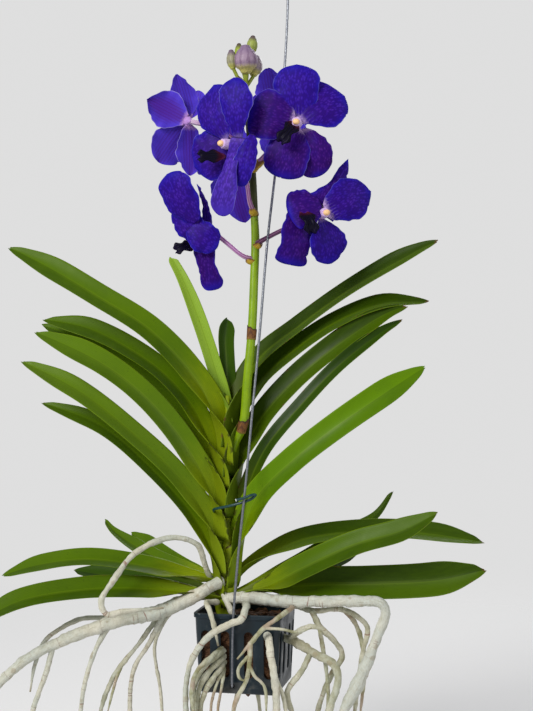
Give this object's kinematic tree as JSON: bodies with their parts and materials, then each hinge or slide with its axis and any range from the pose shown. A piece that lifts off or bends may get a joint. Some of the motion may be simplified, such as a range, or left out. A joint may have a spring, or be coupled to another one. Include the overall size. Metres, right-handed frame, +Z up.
{
  "type": "hanging vanda orchid in a slotted basket pot",
  "caption": "Vanda orchid in bloom, with strap leaves and long aerial roots, growing from a small slotted pot that hangs on a steel wire hanger.",
  "frame": {"origin": "inside top of the wire's hook, where a rail or nail carries the plant", "axes": "+Z up along the hanging plant, -Y towards the viewer the blooms face, +X to the viewer's right"},
  "size_m": [0.4609, 0.1845, 0.7715],
  "materials": {
    "leaf": "satin, waxy green with pale midrib and brown nicks",
    "leaf_bright": "satin, young light green",
    "leaf_dark": "satin, deep green in the shade",
    "stem": "dull, yellow-green leaf sheaths with brown edges",
    "spike": "satin, yellow-green with reddish-brown bands and lilac stalks",
    "tepal": "velvety blue-violet with a lighter chequered net",
    "lip": "glossy, nearly black purple",
    "bud": "satin, lilac-grey with darker veins",
    "root": "matte, off-white velamen with green and brown tints",
    "pot": "semi-gloss black-navy plastic",
    "bark": "rough brown bark",
    "steel": "dull galvanised wire",
    "clip_wire": "dark teal plastic coating"
  },
  "bodies": {
    "root": {"hanger_wire": "steel", "wire_hook": "steel", "clip": "clip_wire", "pot": "pot", "growing_medium": "bark", "stem": "stem", "flower_spike": "spike", "bud_large": "bud", "leaf_low_right_5": "leaf", "leaf_low_left_2": "leaf", "leaf_low_right_2": "leaf", "leaf_low_right_3": "leaf", "leaf_low_left_4": "leaf", "leaf_low_left_1": "leaf", "leaf_low_right_1": "leaf", "leaf_low_left_3": "leaf", "leaf_left_6": "leaf", "leaf_left_5": "leaf", "leaf_left_4": "leaf", "leaf_left_3": "leaf", "leaf_right_3": "leaf", "leaf_left_2": "leaf", "leaf_right_2": "leaf", "leaf_left_1": "leaf", "leaf_right_1": "leaf", "leaf_right_5": "leaf_bright", "leaf_upright_1": "leaf_bright", "leaf_low_right_4": "leaf_dark", "leaf_low_left_5": "leaf_dark", "leaf_right_4": "leaf_dark", "leaf_upright_2": "leaf_dark", "root_left_main": "root", "root_left_hanging": "root", "root_left_loop": "root", "root_over_rim": "root", "root_front_thick": "root", "root_front_bundle": "root", "root_right_main": "root", "root_right_net": "root", "root_right_slot": "root", "root_front_slot": "root", "root_front_net": "root", "root_stub": "root", "root_back": "root", "bloom_1_tepals": "tepal", "bloom_1_lip": "lip", "bloom_2_tepals": "tepal", "bloom_2_lip": "lip", "bloom_3_tepals": "tepal", "bloom_3_lip": "lip", "bloom_4_tepals": "tepal", "bloom_4_lip": "lip", "bloom_5_tepals": "tepal", "bloom_5_lip": "lip", "bloom_6_tepals": "tepal", "bloom_6_lip": "lip", "bloom_7_tepals": "tepal", "bloom_7_lip": "lip"}
  },
  "joints": []
}
